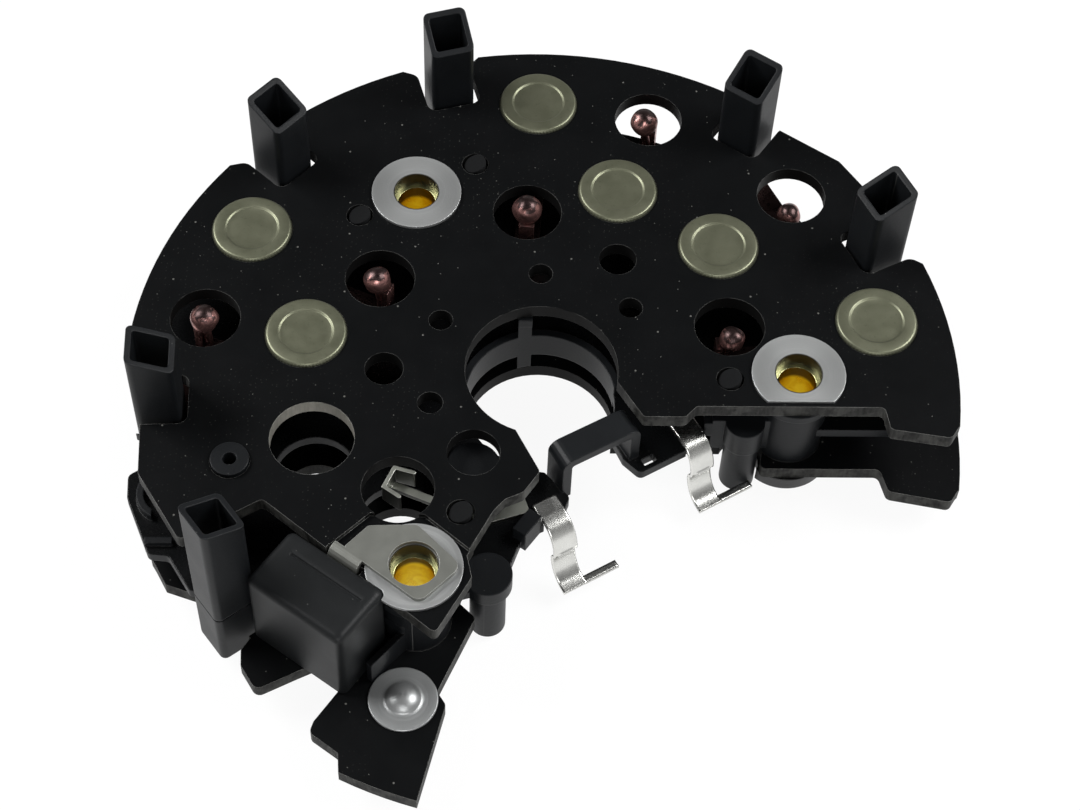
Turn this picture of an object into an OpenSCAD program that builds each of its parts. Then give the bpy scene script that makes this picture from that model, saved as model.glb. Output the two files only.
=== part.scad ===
// Twelve-diode alternator rectifier: two horseshoe heat sinks with a moulded carrier between them.
// Origin: shaft axis, on the plane where the three mounting bushes seat. +Z points away from the alternator.

/* [Heat sinks] */
// Outer radius of the upper heat sink
upper_r = 63.5; // [62:0.1:66]
// Outer radius of the two lower heat sink lobes that show past the upper one
lower_r = 66.2; // [65:0.1:68]
// Outer radius of the lower heat sink under the upper one
lower_back_r = 60.4; // [59.5:0.1:61]
// Thickness of each heat sink sheet
plate_t = 2.5; // [2:0.1:3]
// Clear height between the two heat sinks
plate_gap = 14; // [13.4:0.1:15]
// Height of the lower heat sink above the mounting plane
foot_h = 2.5; // [2.2:0.1:3]
// Radius of the opening round the rotor shaft
shaft_r = 11.7; // [11:0.1:12]
// Drop of the pressed pad at the third mount
pad_drop = 0.8; // [0.5:0.1:1]

/* [Diodes] */
// Radius of a press-fit diode can
can_r = 6.4; // [6.2:0.05:6.5]
// Height of a diode can
can_h = 5.6; // [5:0.1:6]
// How far a can stands proud of its heat sink
can_proud = 0.6; // [0.3:0.1:1]
// Radial slack between a can and its seat as drawn
seat_gap = 0.02; // [0.01:0.01:0.03]
// Radius of a diode lead
lead_r = 0.7; // [0.6:0.05:0.8]
// Radius of the circle of outer diodes
outer_ring_r = 52.6; // [52:0.1:53]
// Radius of the circle of inner diodes in the upper heat sink
inner_ring_r = 36.7; // [36.3:0.1:37]
// Radius of the circle of inner diodes in the lower heat sink
low_ring_r = 30.2; // [29.8:0.1:30.5]
// Radius of the holes that clear the leads of the other heat sink's diodes
lead_hole_r = 5.45; // [5.2:0.05:5.6]

/* [Mounts] */
// Distance from the circle of outer diodes in to the circle of mounting bushes
mount_inset = 13.5; // [13.2:0.1:13.8]
// Bore radius of the inner steel sleeves
sleeve_bore_r = 3; // [2.6:0.1:3.2]
// Wall of a steel sleeve
sleeve_wall = 1.3; // [1:0.1:1.5]
// Depth of a sleeve's top below the top of its bush
sleeve_depth = 2.8; // [2.6:0.1:3.1]
// Bore radius of the aluminium bushes
bush_bore_r = 3.5; // [3.4:0.05:3.7]
// Flange radius of the aluminium bushes
bush_flange_r = 7.15; // [6.8:0.05:7.4]
// Flange thickness of the aluminium bushes
bush_flange_t = 0.5; // [0.4:0.1:0.8]
// Wall of the moulded column round a sleeve
column_wall = 0.9; // [0.8:0.1:1.2]
// Flange radius of the insulating washers
washer_r = 7.1; // [6.8:0.1:7.3]

/* [Carrier] */
// Thickness of the carrier's web
web_t = 1.8; // [1.6:0.1:2.2]
// Outer width of a wire tower
tower_w = 7; // [6.8:0.1:7.2]
// Wall of a wire tower
tower_wall = 0.85; // [0.7:0.05:1]
// Radius from the shaft axis to the middle of a tower
tower_ring_r = 58.05; // [57.8:0.05:58.4]
// Height of a tower's low inner edge above the upper heat sink
tower_rise = 11.8; // [10:0.1:13]
// How much higher a tower's outer edge is than its inner edge
tower_slant = 3.1; // [2:0.1:4]
// Gap between a tower and its notch in a heat sink
notch_gap = 0.9; // [0.7:0.1:1.2]
// Radius of the two locating posts
post_r = 2.75; // [2.5:0.05:2.9]
// Reach of the locating posts below the mounting plane
post_reach = 2.5; // [2:0.1:3]

/* [Condenser] */
// Length of the condenser case
case_l = 17.4; // [17:0.1:17.8]
// Width of the condenser case
case_w = 10.6; // [10.3:0.1:10.9]
// Wall of the condenser case
case_wall = 1.2; // [1:0.1:1.5]
// Height of the case's top above the upper heat sink
case_rise = 0.5; // [0.2:0.1:1]

/* [Strips] */
// Thickness of the copper phase conductors
copper_t = 1; // [0.8:0.1:1.2]
// Width of the copper phase conductors
copper_w = 4; // [3.6:0.1:4.4]
// Thickness of the tinned strips
strip_t = 0.8; // [0.6:0.1:0.9]
// Thickness of the spring contacts
spring_t = 0.5; // [0.4:0.05:0.6]
// Width of the spring contacts
spring_w = 4; // [3.6:0.1:4.2]

/* [Hidden] */
$fn = 64;

mount_r = outer_ring_r - mount_inset;
// A length past every outline
far = 120;

// Heights above the mounting plane
low_z = foot_h;
low_top = low_z + plate_t;
up_z = low_top + plate_gap;
up_top = up_z + plate_t;
web_z = low_top + (plate_gap - web_t) * 0.42;
web_top = web_z + web_t;
cut = 1;
slip = 0.1;

// Diode places, as [angle, radius], one pair for each phase
UPPER = [[10, outer_ring_r], [40, inner_ring_r], [70, inner_ring_r],
  [90, outer_ring_r], [150, outer_ring_r], [170, inner_ring_r]];
LOWER = [[15.6, low_ring_r], [40, outer_ring_r], [70, outer_ring_r],
  [93.7, low_ring_r], [146, low_ring_r], [170, outer_ring_r]];
// Empty seat of a seventh pair that this version does without
SPARE_UP = [200.2, inner_ring_r];
SPARE_LOW = [224.9, low_ring_r];
// Drop of each weld bead's middle below the upper heat sink's top, and its radius and offset
BEADS = [[3.4, 2, [0.7, 0]], [4.6, 1.9, [0.1, -0.3]], [0.7, 2.25, [-0.7, 0]],
  [0.4, 2.3, [0, 0.8]], [0.8, 2.15, [-0.5, 0.25]], [0.5, 2.2, [-0.2, 0.2]]];

// Mounting bushes, as angles; the first bush has a flat on its flange
MOUNTS = [-1.2, 120.2, 241.3];
bush_flat = 5.1;

// Wire towers, as [angle of the place, angle of the tower]
TOWERS = [[24.3, 25.9], [54.4, 54.7], [104.7, 105.2], [135.6, 137.1], [185.9, 181.6], [216.1, 216.6]];

// Locating posts, the first beside the first mount
POSTS = [polar([MOUNTS[0], mount_r]) + [-7.59, -3.78], [-8, -31]];

// Condenser beside the third mount, and the contact rivet
third = polar([MOUNTS[2], mount_r]);
case_at = third + [-14.12, -3.6];
case_turn = -36.4;
case_top = up_top + case_rise;
case_slip = 0.2;
rivet_at = [-20.4, -47.7];
rivet_r = 5.2;
rivet_rise = 2;

function polar(p) = p[1] * [cos(p[0]), sin(p[0])];
function unit(v) = v / norm(v);
// Points of one rounded corner b between a and c, radius r
function corner(a, b, c, r) =
  let (u = unit(a - b), v = unit(c - b), half = acos(u * v) / 2, d = r / tan(half),
    m = b + unit(u + v) * r / sin(half), p = b + u * d, q = b + v * d,
    s = atan2((p - m)[1], (p - m)[0]), e = atan2((q - m)[1], (q - m)[0]),
    turn = e - s > 180 ? e - s - 360 : e - s < -180 ? e - s + 360 : e - s, n = 5)
  [for (i = [0:n]) m + r * [cos(s + turn * i / n), sin(s + turn * i / n)]];
function xy(p) = [p[0], p[1]];
// Outline through points [x, y, corner radius]
function rounded(pts) =
  [for (i = [0:len(pts) - 1])
    let (a = xy(pts[(i + len(pts) - 1) % len(pts)]), b = xy(pts[i]), c = xy(pts[(i + 1) % len(pts)]))
    each (pts[i][2] > 0 ? corner(a, b, c, pts[i][2]) : [b])];

// Edge of the upper heat sink away from its rim, from the right end to the left flank
pad_edge = [[-11.1, -32.2, 0.4], [-10.4, -35.8, 0.8], [-15.6, -44.9, 0.8]];
UPPER_EDGE = concat([[far, 20, 0], [far, -9.6, 0], [62.8, -9.6, 1.4], [61.3, -12, 1], [52.3, -10.5, 0.8], [51.7, -6.6, 0.8], [23.4, -6.6, 0.8],
  [21.6, -8.5, 0.8], [15.3, -8.5, 0.6], [shaft_r - 0.4, -1.9, 0], [0, 0, 0], [-4, -11, 0], [-0.4, -18.3, 0.8],
  [-2.9, -21.9, 1.4], [-5.6, -23.1, 1.4], [-7.3, -25.1, 2]], pad_edge,
  [[-41.3, -23.3, 1], [-53, -30.4, 1], [-59.9, -19, 1], [-60.4, -8, 1], [-far, -8, 0], [-far, far, 0], [far, far, 0]]);
// Straight cuts across the upper rim between the two right-hand towers
RIM_CHORDS = [[[48.6, 40.9], [40.9, 46.3]], [[51.6, 36.4], [48.6, 40.9]]];

// Edge of the lower heat sink away from its rim
LOWER_EDGE = [[far, 20, 0], [far, -10.8, 0], [65.3, -10.8, 1.4], [63.7, -13.3, 1], [54.2, -11.4, 1], [53.2, -7.4, 1], [34.6, -7.4, 0.8], [34.6, -3.2, 1],
  [shaft_r - 0.6, -3.2, 0], [0, 0, 0], [-4, -11, 0], [-0.8, -17.6, 0.8], [-11.4, -27.6, 1],
  [-12.4, -31.4, 1], [-9.8, -34, 0.8], [-15.4, -46.3, 0.8], [-14.1, -48.4, 1], [-18.7, -66, 0.8], [-29, -68, 0],
  [-29.7, -56.2, 0.6], [-34, -53, 1], [-33.4, -51.2, 1], [-29.6, -45.8, 0.6], [-32.6, -41.4, 0.6],
  [-36.3, -43.2, 0.6], [-42.2, -46.2, 1.2], [-45.4, -40.8, 1], [-43.4, -37.6, 0], [-46.9, -34.2, 0],
  [-50.3, -31.2, 0], [-54.4, -33.1, 0.8], [-58.6, -25.2, 0.5], [-75, 2, 0], [-far, 2, 0], [-far, far, 0],
  [far, far, 0]];

module tower_place(t, r = tower_ring_r) {
  translate(r * [cos(t[0]), sin(t[0])]) rotate(t[1]) children();
}

// Notch in a heat sink's rim round one tower, with its mouth's corners rounded
module notch(t, rim) {
  half = tower_w / 2 + notch_gap;
  mouth = rim - tower_ring_r - 1.7;
  tower_place(t) polygon(rounded([[-half, -half, 1.6], [-half, half, 1.6], [mouth, half, 1.8],
    [mouth + 20, half + 30, 0], [mouth + 20, -half - 30, 0], [mouth, -half, 1.8]]));
}

module rim_cut(a, b) {
  d = 2 * unit(b - a);
  polygon([a - d, b + d, 2 * (b + d), 2 * (a - d)]);
}

module upper_outline() {
  difference() {
    intersection() {
      circle(upper_r, $fn = 180);
      polygon(rounded(UPPER_EDGE));
    }
    circle(shaft_r, $fn = 96);
    for (t = TOWERS) notch(t, upper_r);
    for (c = RIM_CHORDS) rim_cut(c[0], c[1]);
  }
}

module upper_holes() {
  for (p = UPPER) translate(polar(p)) circle(can_r + seat_gap);
  translate(polar(SPARE_UP)) circle(can_r);
  for (p = LOWER) translate(polar(p)) circle(lead_hole_r);
  translate(polar(SPARE_LOW)) circle(lead_hole_r);
  for (a = MOUNTS) translate(polar([a, mount_r])) circle(sleeve_out_r + slip);
  case_place() translate([tab_x0 - 0.6, 0]) square([tab_l + 1.2, tab_y + strip_t + 0.5]);
  for (p = UP_TOOL_HOLES) translate(polar(p)) circle(p[2]);
  for (p = PEGS) translate(polar(p)) circle(peg_hole_r);
  translate(polar(BOSS)) circle(boss_r + slip);
}
// Tooling and vent holes in the upper heat sink, as [angle, radius, hole radius]
UP_TOOL_HOLES = [[235.6, 18.2, 4], [59.8, 24.2, 2.95], [180.2, 24, 2.95],
  [39.7, 18.1, 1.87], [89.8, 18, 1.87], [149.8, 17.9, 1.87], [200.3, 18, 1.95]];
// Locating pegs of the carrier in the upper heat sink, as [angle, radius]
PEGS = [[-3.2, 28.7], [104.5, 41.2], [134.3, 41], [244.5, 28.1]];
peg_r = 1.75;
peg_hole_r = 2.1;
// Hollow boss of the carrier in the upper heat sink
BOSS = [199.9, 49.4];
boss_r = 2.9;
boss_bore_r = 1.05;

// Region of the pressed pad at the third mount
module pad_region(grow = 0) translate(third) polygon([[-6.62 - grow, 8.7 + grow], [1.4 + grow, 8.5 + grow],
  [9.2 + grow, 1.7 + grow], [12.78, -15.7], [-1.22, -17.7], [-12.82 - grow, 2.9 + grow]]);

module upper_heat_sink() color([0.13, 0.135, 0.14]) difference() {
  union() {
    translate([0, 0, up_z]) linear_extrude(plate_t) upper_outline();
    translate([0, 0, up_z - pad_drop]) linear_extrude(pad_drop) intersection() {
      upper_outline();
      pad_region(0.8);
    }
  }
  translate([0, 0, up_top - pad_drop]) linear_extrude(plate_t) pad_region();
  translate([0, 0, up_z - 2 * plate_t]) linear_extrude(4 * plate_t) upper_holes();
}

module lower_heat_sink() color([0.13, 0.135, 0.14]) translate([0, 0, low_z]) linear_extrude(plate_t) difference() {
  intersection() {
    union() {
      circle(lower_back_r, $fn = 180);
      intersection() {
        circle(lower_r, $fn = 180);
        union() {
          translate([0, -20]) square([80, 32]);
          translate([-62, -80]) square([60, 56]);
        }
      }
    }
    polygon(rounded(LOWER_EDGE));
  }
  circle(shaft_r, $fn = 96);
  for (t = TOWERS) notch(t, lower_back_r);
  for (p = LOWER) translate(polar(p)) circle(can_r + seat_gap);
  translate(polar(SPARE_LOW)) circle(can_r);
  for (p = concat(UPPER, [SPARE_UP])) translate(polar(p)) circle(lead_hole_r);
  for (a = MOUNTS) translate(polar([a, mount_r])) circle(column_out_r + slip);
  for (p = POSTS) translate(p) circle(post_r + 0.6);
  translate(rivet_at) circle(rivet_shank_r + slip);
}
sleeve_out_r = sleeve_bore_r + sleeve_wall;
column_in_r = sleeve_out_r + slip;
column_out_r = column_in_r + column_wall;
rivet_shank_r = 2;

// Straight bar from a to b, w wide
module bar(a, b, w) {
  translate(a) rotate(atan2((b - a)[1], (b - a)[0])) translate([0, -w / 2]) square([norm(b - a), w]);
}

// Slab of a 2D shape from height z, h tall
module slab(z, h) {
  translate([0, 0, z]) linear_extrude(h) children();
}

// Carrier: its web, towers, columns, posts, pegs and the bridge by the shaft opening
web_r = 56.2;
web_in_r = shaft_r - 0.1;
WEB_EDGE = [[far, 20, 0], [far, -4.6, 0], [25.4, -4.6, 0.6], [24.6, -7.2, 1], [15.2, -12.6, 1], [12.6, -10, 1],
  [11.1, -6.6, 0], [0, 0, 0], [-2, -12.2, 0], [0.6, -12.6, 0.5], [4.4, -17, 1], [3, -20.6, 1], [-1.4, -22.9, 0.6],
  [-3.2, -24.9, 1], [-6.4, -33.6, 2], [-10.6, -33.4, 1.5], [-12.6, -34, 1], [-14.3, -37.2, 1], [-20.6, -39.6, 1],
  [-36.4, -28, 0.5], [-41, -33.9, 0.3], [-47, -34, 0], [-52.2, -33.4, 0.8], [-55.7, -27.6, 1],
  [-58.8, -27.3, 1], [-62.7, -17.6, 1.2], [-62.9, -13.6, 1.2], [-56, -9, 0], [-75, 0, 0],
  [-far, 0, 0], [-far, far, 0], [far, far, 0]];

module web_outline() intersection() {
  union() {
    circle(web_r, $fn = 180);
    translate([-70, -36]) square([30, 30]);
    intersection() {
      circle(lower_back_r - slip, $fn = 180);
      polygon([[0, 0], [-far, far * 0.5], [-far, 0]]);
    }
  }
  polygon(rounded(WEB_EDGE));
}

module tower_slab(w, r) {
  half = w / 2;
  polygon(rounded([[-half, -half, r], [half, -half, r], [half, half, r], [-half, half, r]]));
}

tower_z = 0.5;
tower_bore = tower_w - 2 * tower_wall;
module tower(t) tower_place(t) intersection() {
  slab(tower_z, up_top + tower_rise + tower_slant) tower_slab(tower_w, 1);
  translate([0, tower_w, 0]) rotate([90, 0, 0]) linear_extrude(2 * tower_w) polygon([[-tower_w / 2 - slip, 0],
    [tower_w / 2 + slip, 0], [tower_w / 2 + slip, up_top + tower_rise + tower_slant],
    [-tower_w / 2 - slip, up_top + tower_rise]]);
}

// Upper length of a tower, which stands on the web, with a seam at its foot and the conductors' slots
seam = 0.3;
module wire_tower(i) color([0.08, 0.085, 0.09]) difference() {
  intersection() {
    tower(TOWERS[i]);
    slab(web_top, 60) circle(far);
  }
  tower_place(TOWERS[i]) slab(web_top - cut, cut + seam) difference() {
    circle(tower_w);
    tower_slab(tower_w - 1.4 * seam, 0.9);
  }
  tower_bores();
  conductor_slots();
}

module conductor_slots() for (i = [0:5]) slab(web_top - slip, copper_t + 2 * slip) tower_branch(i, copper_w + 0.2);

module tower_bores() for (t = TOWERS) tower_place(t) slab(tower_z - cut, 60) tower_slab(tower_bore, 0.5);

bush_drop = [0, 0, pad_drop];
collar_r = column_out_r + 1;
collar_h = 1.4;
module column(i) translate(polar([MOUNTS[i], mount_r])) {
  translate([0, 0, low_top]) cylinder(r = column_out_r, h = up_z - bush_drop[i] - low_top);
  translate([0, 0, up_z - bush_drop[i] - collar_h]) cylinder(r = collar_r, h = collar_h);
}

// Locating peg with a slanted end that shows in its hole
peg_up = 0.5;
module peg(p) translate(polar(p)) intersection() {
  slab(web_z, up_top + peg_up - web_z) circle(peg_r);
  translate([0, 10, 0]) rotate([90, 0, 0]) linear_extrude(20)
    polygon([[-9, 0], [9, 0], [9, up_top + peg_up + 3.2], [-9, up_top - 3.4]]);
}

module boss() translate(polar(BOSS)) difference() {
  slab(web_z, up_top + 0.7 - web_z) circle(boss_r);
  slab(web_z - cut, up_top + 2) circle(boss_bore_r);
}

module post(p) translate(p) translate([0, 0, -post_reach]) {
  cylinder(r1 = post_r - 0.7, r2 = post_r, h = 1);
  translate([0, 0, 1]) cylinder(r = post_r, h = web_z + post_reach - 0.9);
}

// Bridge over the brush side of the shaft opening
bridge_w = 4.5;
bridge_t = 1.6;
bridge_top = up_top - 1.8;
module bridge_place() translate([5.85, -9.5, 0]) rotate(29.3) children();
bridge_x0 = -5.6;
bridge_x1 = 8;
module bridge() bridge_place() {
  rotate([90, 0, 0]) linear_extrude(bridge_w) difference() {
    polygon(rounded([[bridge_x0, web_z, 0], [bridge_x1, web_z, 0], [bridge_x1, bridge_top, 1.8],
      [bridge_x0, bridge_top, 1.8]]));
    polygon(rounded([[bridge_x0 + bridge_t, web_z - cut, 0], [bridge_x1 - bridge_t, web_z - cut, 0],
      [bridge_x1 - bridge_t, bridge_top - bridge_t, 0.5], [bridge_x0 + bridge_t, bridge_top - bridge_t, 0.5]]));
  }
  for (x = [-4.4, 5.2]) slab(bridge_top - bridge_t - 1.4, 1.6) translate([x, -bridge_w / 2 - 0.6]) square([1.4, 1.2]);
}

module web_walls() {
  // Rim round the shaft opening
  slab(web_z - 1.6, web_t + 3.4) intersection() {
    difference() {
      circle(web_in_r + 1.2, $fn = 96);
      circle(web_in_r, $fn = 96);
    }
    polygon([[0, 0], [40, 6], [40, 40], [-40, 40], [-40, -16]]);
  }
  slab(low_top + 0.3, up_z - low_top - 0.6) translate([-3.4, web_in_r - 0.7]) square([2.2, 1.6]);
  // Wall along the straight edge with two gussets
  slab(web_z - 3.4, web_t + 5.8) translate([26.5, -4.6]) square([9.6, 1.2]);
  for (x = [25.3, 35.4]) slab(web_z, web_t + 1.6) translate([x, -4.6]) square([1.2, 4]);
  // Arc rib on the left flange and rib by the third mount
  slab(web_z, web_t + 1.4) translate([-56.6, -17.4]) difference() {
    circle(4.6);
    circle(3.5);
    translate([-2, -9]) square(20);
  }
  slab(web_z, web_t + 1) bar([-59.4, -25.4], [-55.2, -25.4], 1);
  slab(web_z, web_t + 2.6) bar([-3.4, -24.6], [-0.9, -21.2], 2.4);
  slab(low_top + 0.1, web_z - low_top) case_place() bar([case_l / 2 + 1.3, -0.9], [case_l / 2 + 2.4, 10.4], 1);
  // Pad close under the heat sink's widest tooling hole
  slab(web_z, up_z - 1.2 - web_z) translate(polar(UP_TOOL_HOLES[0])) circle(UP_TOOL_HOLES[0][2] + 0.05);
  for (p = LEGS) slab(low_top, web_z - low_top + 0.2) translate(polar(p)) circle(1.6);
}
// Legs of the web on the lower heat sink, as [angle, radius]
LEGS = [[25, 41], [56, 44], [82, 42], [108, 50], [134, 50], [160, 43], [184, 34], [205, 28], [60, 20], [120, 20]];

module carrier() color([0.08, 0.085, 0.09]) difference() {
  union() {
    slab(web_z, web_t) web_outline();
    intersection() {
      for (t = TOWERS) tower(t);
      slab(0, web_top) circle(far);
    }
    for (i = [0:2]) column(i);
    for (p = PEGS) peg(p);
    boss();
    for (p = POSTS) post(p);
    translate(POSTS[1]) slab(web_z, web_t + 1.2) circle(post_r + 0.9);
    translate(POSTS[0]) slab(web_z - 1, web_t + 3.4) circle(post_r + 0.3);
    bridge();
    web_walls();
  }
  tower_bores();
  slab(low_top, 12) circle(web_in_r, $fn = 96);
  for (a = MOUNTS) translate(polar([a, mount_r])) slab(low_top - cut, 40) circle(column_in_r);
  for (p = UPPER) translate(polar(p)) slab(web_z - cut, 4) circle(lead_r + 0.1);
  for (p = LOWER) translate(polar(p)) slab(web_z - cut, 4) circle(lead_r + 0.9);
  slab(case_z - cut, 30) case_place() case_slab(slip, 1);
  for (i = [0, 1]) translate(SPRINGS[i]) rotate(-60) {
    slab(web_z - 4, web_t + 8) translate([-slip, -spring_w / 2 - slip]) square([spring_reach, spring_w + 2 * slip]);
    slab(web_top, 4) translate([-spring_root[i] - slip, -spring_w / 2 - slip]) square([8, spring_w + 2 * slip]);
  }
  for (p = [SPARE_UP, SPARE_LOW]) translate(polar(p)) slab(web_z - cut, 4) circle(spare_gap_r);
  translate([16.6, -10.2, web_z - cut]) rotate(29.3) linear_extrude(8) translate([-1.1, -0.6]) square([2.2, 1.2]);
}
// Radius of the web's holes at the empty pair's two places
spare_gap_r = can_r - 0.2;

// Diode: pressed cup with its closed end up and its lead below, its base plane at z = 0
rim_r = 4.2;
module can() {
  translate([0, 0, -can_h]) rotate_extrude($fn = 96) polygon([[0, 0.5], [1.6, 0.5], [2.4, 1], [5.3, 1], [5.5, 0],
    [can_r - 0.3, 0], [can_r, 0.3], [can_r, can_h - 0.4], [can_r - 0.4, can_h], [rim_r + 0.5, can_h],
    [rim_r, can_h - 0.45], [0, can_h - 0.45]]);
}

module upper_diode(i) color([0.6, 0.62, 0.58]) translate(polar(UPPER[i])) {
  translate([0, 0, up_top + can_proud]) can();
  translate([0, 0, web_z]) cylinder(r = lead_r, h = up_top + can_proud - can_h + 0.6 - web_z);
}

function bead_z(i) = up_top - BEADS[i][0];
module bead(i, grow = 0) {
  p = polar(LOWER[i]) + BEADS[i][2];
  translate([p[0], p[1], bead_z(i)]) sphere(r = BEADS[i][1] + grow, $fn = 48);
}

module lower_diode(i) color([0.6, 0.62, 0.58]) {
  translate(polar(LOWER[i])) {
    translate([0, 0, low_z - can_proud]) mirror([0, 0, 1]) can();
    translate([0, 0, low_z - can_proud + can_h - 0.6]) cylinder(r = lead_r, h = bead_z(i) - 0.5 - low_z + can_proud - can_h);
  }
  bead(i);
}

// Copper conductors that join each pair of leads to a tower
TOWER_OF = [0, 1, 1, 2, 3, 4];
function outer_lead(i) = UPPER[i][1] > LOWER[i][1] ? polar(UPPER[i]) : polar(LOWER[i]);
function tower_mid(i) = polar([TOWERS[TOWER_OF[i]][0], tower_ring_r]);
module tower_branch(i, w) {
  a = outer_lead(i);
  b = tower_mid(i);
  bar(a, b - unit(b - a) * (tower_bore / 2 - 0.3), w);
}

module phase_conductor(i) color([0.72, 0.4, 0.28]) {
  u = polar(UPPER[i]);
  l = polar(LOWER[i]);
  slab(web_top, copper_t) difference() {
    union() {
      bar(u, l, copper_w);
      tower_branch(i, copper_w);
      translate(u) circle(copper_w / 2 + 0.2);
      translate(l) circle(copper_w / 2 + 0.2);
    }
    translate(u) circle(lead_r + 0.02);
    translate(l) circle(lead_r + 0.05);
  }
  difference() {
    slab(web_top + copper_t / 2, bead_z(i) - 1.1 - web_top - copper_t / 2) translate(l) rotate(atan2((l - u)[1], (l - u)[0]))
      translate([lead_r + 0.05, -1.2]) square([copper_t, 2.4]);
    bead(i, 0.03);
  }
}

// Tinned link from the empty pair's place to the first spring contact, with an open hook for a lead that isn't there
HOOK = [[2.3, 3], [-0.6, 3.9], [-2.1, 0.6], [0.2, -1.1]];
hook_t = 0.6;
arm_z = up_z - pad_drop - strip_t - 0.1;
arm_from = [-1.45, 2.9];
arm_to = [7.4, -1];
module phase_link() color([0.7, 0.69, 0.65]) {
  a = polar(SPARE_LOW);
  slab(arm_z + 0.2, up_top - 0.7 - arm_z) for (i = [0:2]) {
    bar(a + HOOK[i], a + HOOK[i + 1], hook_t);
    translate(a + HOOK[i]) circle(hook_t / 2);
    translate(a + HOOK[i + 1]) circle(hook_t / 2);
  }
  slab(arm_z, strip_t) bar(a + arm_from, a + arm_to, 1.2);
  slab(web_top, arm_z + strip_t - web_top) bar(a + arm_to - unit(arm_to - arm_from) * strip_t, a + arm_to, 1.6);
  slab(web_top, strip_t) {
    bar(a + arm_to, [-2.2, -18.6], 3);
    translate(a + arm_to) circle(1.5);
  }
}

// Aluminium bush through the upper heat sink; the first has a flat on its flange
module bush(i) color([0.75, 0.76, 0.77]) translate(polar([MOUNTS[i], mount_r])) translate([0, 0, up_top - bush_drop[i]])
  difference() {
    union() {
      cylinder(r = bush_flange_r, h = bush_flange_t);
      translate([0, 0, bush_flange_t - sleeve_depth]) cylinder(r = sleeve_out_r, h = sleeve_depth);
    }
    translate([0, 0, -10]) cylinder(r = bush_bore_r, h = 20);
    if (i == 0) translate([-20, -bush_flat - 20, -0.01]) cube([40, 20, 5]);
    if (i == 2) translate(-third) slab(-cut, 5) case_place() case_slab(slip, 1);
  }

module sleeve(i) color([0.78, 0.66, 0.32]) translate(polar([MOUNTS[i], mount_r])) difference() {
  cylinder(r = sleeve_out_r, h = up_top - bush_drop[i] + bush_flange_t - sleeve_depth);
  translate([0, 0, -cut]) cylinder(r = sleeve_bore_r, h = 30);
}

module insulating_washer(i) color([0.16, 0.15, 0.14]) translate(polar([MOUNTS[i], mount_r])) difference() {
  union() {
    cylinder(r = washer_r, h = low_z);
    cylinder(r = column_out_r, h = low_top);
  }
  translate([0, 0, -cut]) cylinder(r = column_in_r, h = 10);
  if (i == 0) translate(-polar([MOUNTS[0], mount_r])) slab(-cut, 10) {
    translate(POSTS[0]) circle(post_r + 0.3);
    translate(polar(LOWER[0])) circle(can_r + slip);
  }
}

// Terminal plate under the third bolt, with a tab bent round and down behind the condenser
TERMINAL_EDGE = [[-10.27, 2.63, 0.5], [-6.72, 6.3, 0.8], [0.38, 6.5, 1.6], [6.98, -0.3, 1.6],
  [0.88, -6.3, 1.6], [-7.42, 0.3, 0.6]];
tab_x0 = -2.2;
tab_l = 5.2;
tab_y = case_w / 2 + case_slip;
tab_z = up_top - pad_drop + bush_flange_t;
tab_drop = 7;
tab_bend = 1.6;
module terminal_plate() color([0.6, 0.58, 0.55]) difference() {
  union() {
    slab(tab_z, strip_t) translate(third) polygon(rounded(TERMINAL_EDGE));
    case_place() translate([tab_x0, 0, 0]) rotate([90, 0, 90]) linear_extrude(tab_l) polygon(rounded([
      [tab_y + 2, tab_z + strip_t, 0], [tab_y, tab_z + strip_t, tab_bend], [tab_y, tab_z - tab_drop, 0],
      [tab_y + strip_t, tab_z - tab_drop, 0], [tab_y + strip_t, tab_z, tab_bend - strip_t], [tab_y + 2, tab_z, 0]]));
  }
  translate([third[0], third[1], tab_z - cut]) cylinder(r = bush_bore_r + 0.2, h = 4);
  case_wire(0.02);
}

wire_r = 0.5;
wire_z = tab_z - tab_drop + 1.8;
module case_wire(grow = 0) case_place() translate([tab_x0 + tab_l / 2, case_w / 2 - 3.4, wire_z])
  rotate([-90, 0, 0]) cylinder(r = wire_r + grow, h = 3.4 + case_slip + strip_t + 0.6);

module contact_rivet() color([0.78, 0.79, 0.8]) translate([rivet_at[0], rivet_at[1], low_top])
  rotate_extrude($fn = 96) polygon([[0, -plate_t - 0.7], [2.7, -plate_t - 0.7], [3, -plate_t], [rivet_shank_r, -plate_t],
    [rivet_shank_r, 0], [rivet_r, 0], [rivet_r, 0.45], [3, 0.62], [2.6, 0.8], [2.35, 1.15], [1.9, 1.55],
    [1.3, 1.84], [0.7, 1.96], [0, rivet_rise]]);

// Spring contact: root on the web, then an S-shaped blade down and out past the mounting plane
SPRINGS = [[1.7, -20], [23.1, -5.4]];
spring_reach = 7.6;
spring_drop = 11.4;
spring_root = [2.6, 4.6];
function blade(s) = [spring_reach * s + 1.8 * sin(360 * s), -spring_drop * (s - 0.06 * sin(720 * s))];
function ribbon(c, t) = let (n = len(c), m = [for (i = [0:n - 1])
    let (d = unit(c[min(i + 1, n - 1)] - c[max(i - 1, 0)])) [-d[1], d[0]] * t / 2])
  concat([for (i = [0:n - 1]) c[i] + m[i]], [for (i = [n - 1:-1:0]) c[i] - m[i]]);

module spring_contact(i) color([0.76, 0.77, 0.78])
  translate([SPRINGS[i][0], SPRINGS[i][1], web_top + spring_t / 2]) rotate(-60) {
    translate([0, spring_w / 2, 0]) rotate([90, 0, 0]) linear_extrude(spring_w)
      polygon(ribbon(concat([[-spring_root[i], 0]], [for (k = [0:20]) blade(k / 20)]), spring_t));
    translate([spring_reach - 1.2, spring_w / 2 - 0.2, -spring_drop - spring_t / 2]) cube([1.2, 6, spring_t]);
  }

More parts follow.
